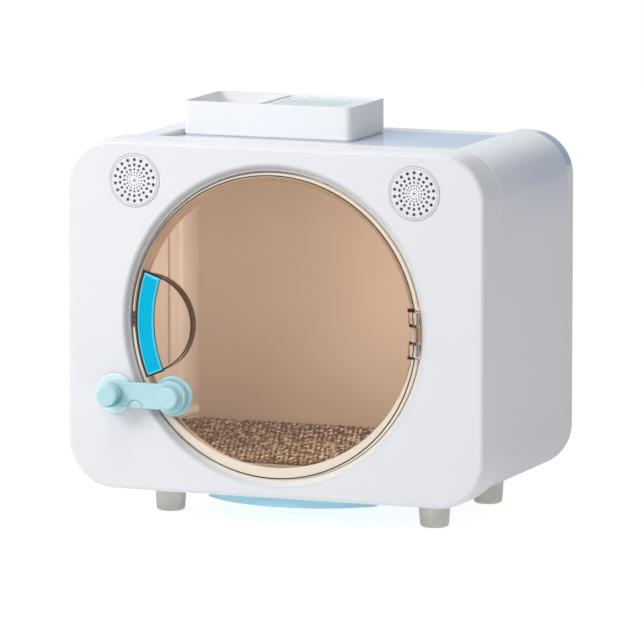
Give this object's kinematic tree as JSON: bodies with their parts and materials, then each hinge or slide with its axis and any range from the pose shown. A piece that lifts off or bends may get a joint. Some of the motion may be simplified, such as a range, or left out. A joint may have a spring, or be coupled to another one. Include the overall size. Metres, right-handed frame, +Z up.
{
  "type": "bird brooder box",
  "caption": "Moulded box for hand-rearing young birds, with a round hinged see-through door, vents, strap lock, mesh floor over a slide-out tray, stub feet and a roof tray.",
  "frame": {"origin": "centre of the overall box at the level of the feet's bottoms", "axes": "+Z up, the door faces -Y, +X to the right as seen from the front"},
  "size_m": [0.36, 0.2516, 0.3298],
  "materials": {
    "white_moulding": "smooth white moulding",
    "pale_moulding": "pale grey moulding",
    "tinted_pane": "clear amber-brown sheet",
    "clear_moulding": "clear moulding",
    "blue_handle": "bright cyan-blue moulding",
    "steel": "plated steel",
    "magnet": "nickel-plated magnet",
    "seal_rubber": "soft taupe ring",
    "adhesive_pad": "foam pad",
    "lock_plastic": "pastel blue moulding",
    "mesh_mat": "coarse brown woven mesh",
    "tray_plastic": "pale blue moulding",
    "foot_rubber": "grey-beige rubber",
    "heater_aluminium": "plain sheet",
    "dark_plastic": "dark moulding"
  },
  "bodies": {
    "cabin": {"front_panel": "white_moulding", "main_shell": "white_moulding", "rear_cover": "white_moulding", "vent_cap_left": "white_moulding", "vent_cap_right": "white_moulding", "panel_screws": "steel", "cover_screws": "steel", "catch_magnet": "magnet", "door_seal": "seal_rubber", "hinge_pin": "steel", "hinge_bracket": "clear_moulding", "bracket_screws": "steel", "lock_panel_pad": "adhesive_pad", "lock_panel_base": "lock_plastic", "floor_lattice": "pale_moulding", "floor_mat": "mesh_mat", "tray_rail_left": "pale_moulding", "tray_rail_right": "pale_moulding", "rail_screws": "steel", "foot_front_left": "foot_rubber", "foot_front_right": "foot_rubber", "foot_rear_left": "foot_rubber", "foot_rear_right": "foot_rubber", "foot_screws": "steel", "heater_plate": "heater_aluminium", "heater_screws": "steel", "heater_lead": "dark_plastic", "power_inlet": "dark_plastic", "inlet_nut": "steel"},
    "door": {"door_pane": "tinted_pane", "handle_bar": "blue_handle", "catch_plate": "steel", "lock_door_pad": "adhesive_pad", "lock_door_base": "lock_plastic", "lock_retainer": "lock_plastic"},
    "strap": {"lock_strap": "lock_plastic"},
    "strap_button": {"lock_strap_button": "lock_plastic"},
    "door_button": {"lock_door_button": "lock_plastic"},
    "tray": {"droppings_tray": "tray_plastic"},
    "caddy": {"roof_tray": "white_moulding"},
    "caddy_plate": {"roof_tray_plate": "pale_moulding"}
  },
  "joints": [
    {"name": "door_hinge", "type": "hinge", "parent": "cabin", "child": "door", "pos_m": [0.121, -0.1042, 0.1647], "axis": [0, 0, 1], "range_deg": [0, 110]},
    {"name": "strap_turn", "type": "hinge", "parent": "door", "child": "strap", "pos_m": [-0.08699, -0.1106, 0.10379], "axis": [0, 1, 0], "range_deg": [0, 100]},
    {"name": "strap_button_press", "type": "slide", "parent": "strap", "child": "strap_button", "axis": [0, 1, 0], "range_m": [0, 0.002], "stiffness_N_per_m": 300},
    {"name": "door_button_press", "type": "slide", "parent": "door", "child": "door_button", "axis": [0, 1, 0], "range_m": [0, 0.002], "stiffness_N_per_m": 300},
    {"name": "tray_slide", "type": "slide", "parent": "cabin", "child": "tray", "axis": [0, -1, 0], "range_m": [0, 0.1]},
    {"name": "roof_tray_lift", "type": "slide", "parent": "cabin", "child": "caddy", "axis": [0, 0, 1], "range_m": [0, 0.06]},
    {"name": "plate_lift", "type": "slide", "parent": "caddy", "child": "caddy_plate", "axis": [0, 0, 1], "range_m": [0, 0.03]}
  ]
}
